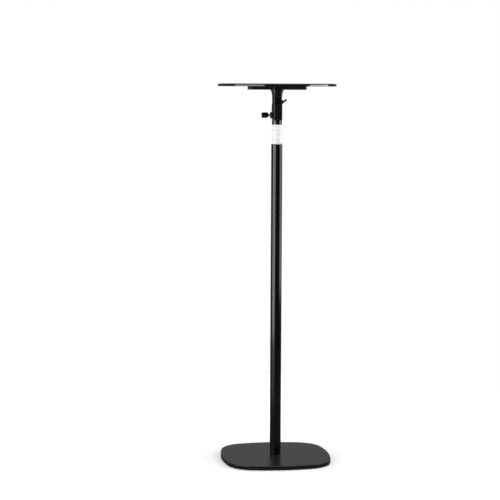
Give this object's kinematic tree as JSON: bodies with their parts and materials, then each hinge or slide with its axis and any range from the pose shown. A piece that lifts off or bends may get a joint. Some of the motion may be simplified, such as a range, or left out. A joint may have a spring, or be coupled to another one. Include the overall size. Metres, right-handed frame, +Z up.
{
  "type": "floor projector stand",
  "caption": "Floor stand with a squircle base plate, a telescoping pole and a round projector tray on a pan and tilt neck.",
  "frame": {"origin": "on the floor, under the pole's axis", "axes": "+Z up along the pole, -Y towards the front (the side pictured), +X to the front viewer's right, where the tilt lever is"},
  "size_m": [0.392, 0.392, 1.2588],
  "materials": {
    "base_coat": "satin black powder coat",
    "pole_coat": "satin black powder coat",
    "bushing_plastic": "moulded, matte black",
    "mast_white": "white satin lacquer",
    "collar_enamel": "gloss black enamel",
    "neck_casting": "semi-gloss black paint on a casting",
    "knob_plastic": "moulded, matte black",
    "zinc_steel": "zinc plated",
    "saddle_coat": "satin black powder coat",
    "tray_enamel": "gloss black enamel",
    "mat_rubber": "matte, fine grain",
    "pad_rubber": "matte",
    "spacer_nylon": "matte"
  },
  "bodies": {
    "base": {"base_plate": "base_coat", "foot_washer": "zinc_steel", "foot_bolt": "zinc_steel", "pole_tube": "pole_coat", "pole_bushing": "bushing_plastic", "floor_pad_front_left": "pad_rubber", "floor_pad_front_right": "pad_rubber", "floor_pad_rear_left": "pad_rubber", "floor_pad_rear_right": "pad_rubber"},
    "mast": {"mast_tube": "mast_white", "mast_cap": "collar_enamel"},
    "neck": {"neck_block": "neck_casting", "clamp_nut": "collar_enamel"},
    "clamp_screw": {"clamp_bolt": "zinc_steel", "clamp_knob": "knob_plastic"},
    "tray": {"yoke": "neck_casting", "pivot_bolt": "zinc_steel", "saddle_plate": "saddle_coat", "tray_pan": "tray_enamel", "tray_mat": "mat_rubber", "tray_spacer_front_left": "spacer_nylon", "tray_spacer_front_right": "spacer_nylon", "tray_spacer_rear_left": "spacer_nylon", "tray_spacer_rear_right": "spacer_nylon", "tray_nut_front_left": "zinc_steel", "tray_nut_front_right": "zinc_steel", "tray_nut_rear_left": "zinc_steel", "tray_nut_rear_right": "zinc_steel"},
    "tilt_lever": {"lever_arm": "collar_enamel", "lever_grip": "knob_plastic"}
  },
  "joints": [
    {"name": "mast_height", "type": "slide", "parent": "base", "child": "mast", "axis": [0, 0, 1], "range_m": [-0.058, 0.35]},
    {"name": "head_pan", "type": "hinge", "parent": "mast", "child": "neck", "pos_m": [0, 0, 1.151], "axis": [0, 0, 1], "continuous": true},
    {"name": "clamp_turn", "type": "hinge", "parent": "neck", "child": "clamp_screw", "pos_m": [-0.03, 0, 1.155], "axis": [1, 0, 0], "continuous": true},
    {"name": "tray_tilt", "type": "hinge", "parent": "neck", "child": "tray", "pos_m": [0, 0, 1.198], "axis": [1, 0, 0], "range_deg": [-15, 15]},
    {"name": "lever_swing", "type": "hinge", "parent": "tray", "child": "tilt_lever", "pos_m": [0.018, 0, 1.198], "axis": [1, 0, 0], "range_deg": [0, 90]}
  ]
}
